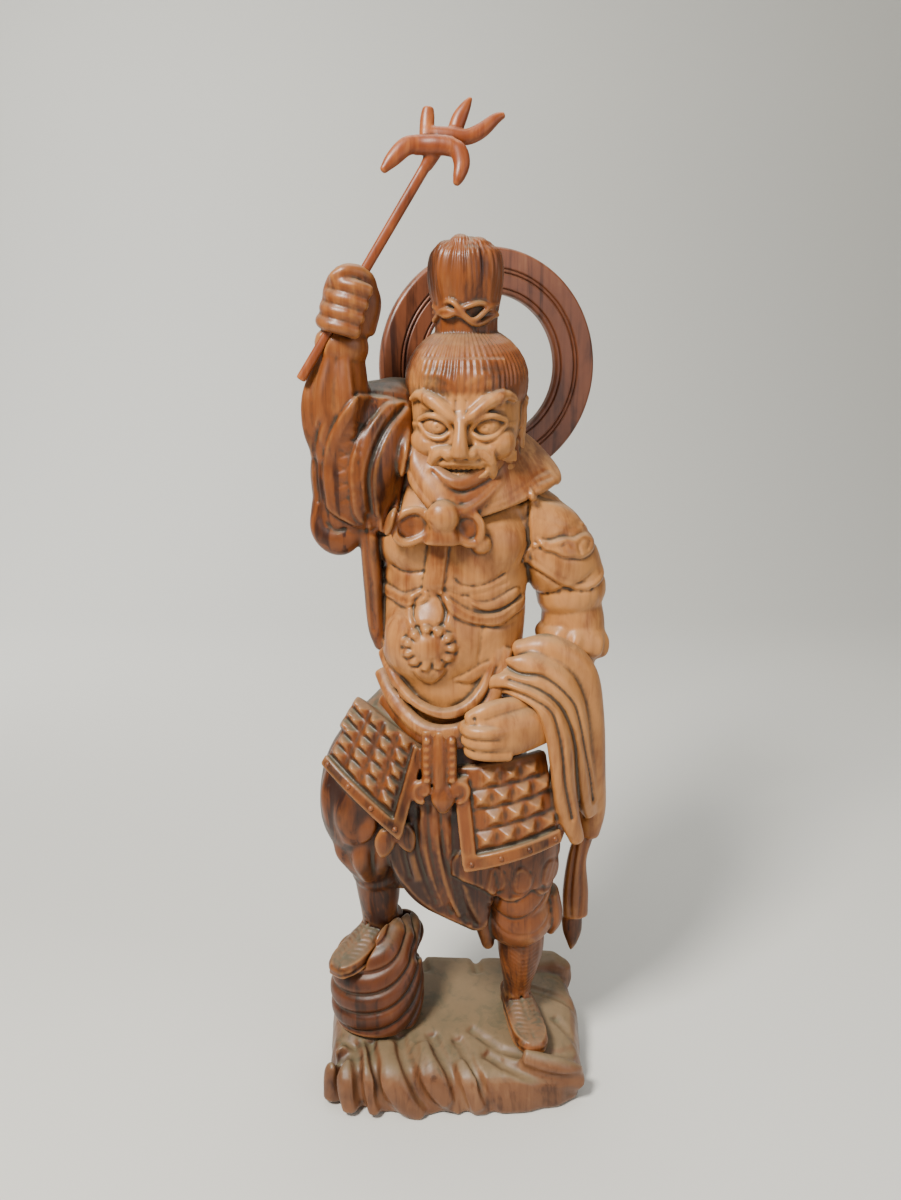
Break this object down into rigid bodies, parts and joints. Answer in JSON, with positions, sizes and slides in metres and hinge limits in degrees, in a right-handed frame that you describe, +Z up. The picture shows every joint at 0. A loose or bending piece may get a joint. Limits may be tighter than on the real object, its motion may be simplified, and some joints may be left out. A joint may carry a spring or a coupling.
{
  "type": "lokapala figure",
  "caption": "Carved wooden guardian general on a rock plinth, raising a pronged staff before a ring halo, one boot on a boulder.",
  "frame": {"origin": "middle of the plinth's flat underside, which stands on the floor", "axes": "+Z up, the figure looks along -Y, +X to the viewer's right"},
  "size_m": [0.2476, 0.193, 0.8234],
  "materials": {
    "figure": "stained, waxed and worn, satin",
    "halo": "stained reddish brown, satin",
    "staff": "stained orange brown, satin",
    "boulder": "stained, worn at the edges",
    "plinth": "dull, dusty wax"
  },
  "bodies": {
    "root": {"figure": "figure", "halo": "halo", "staff": "staff", "boulder": "boulder", "plinth": "plinth"}
  },
  "joints": []
}
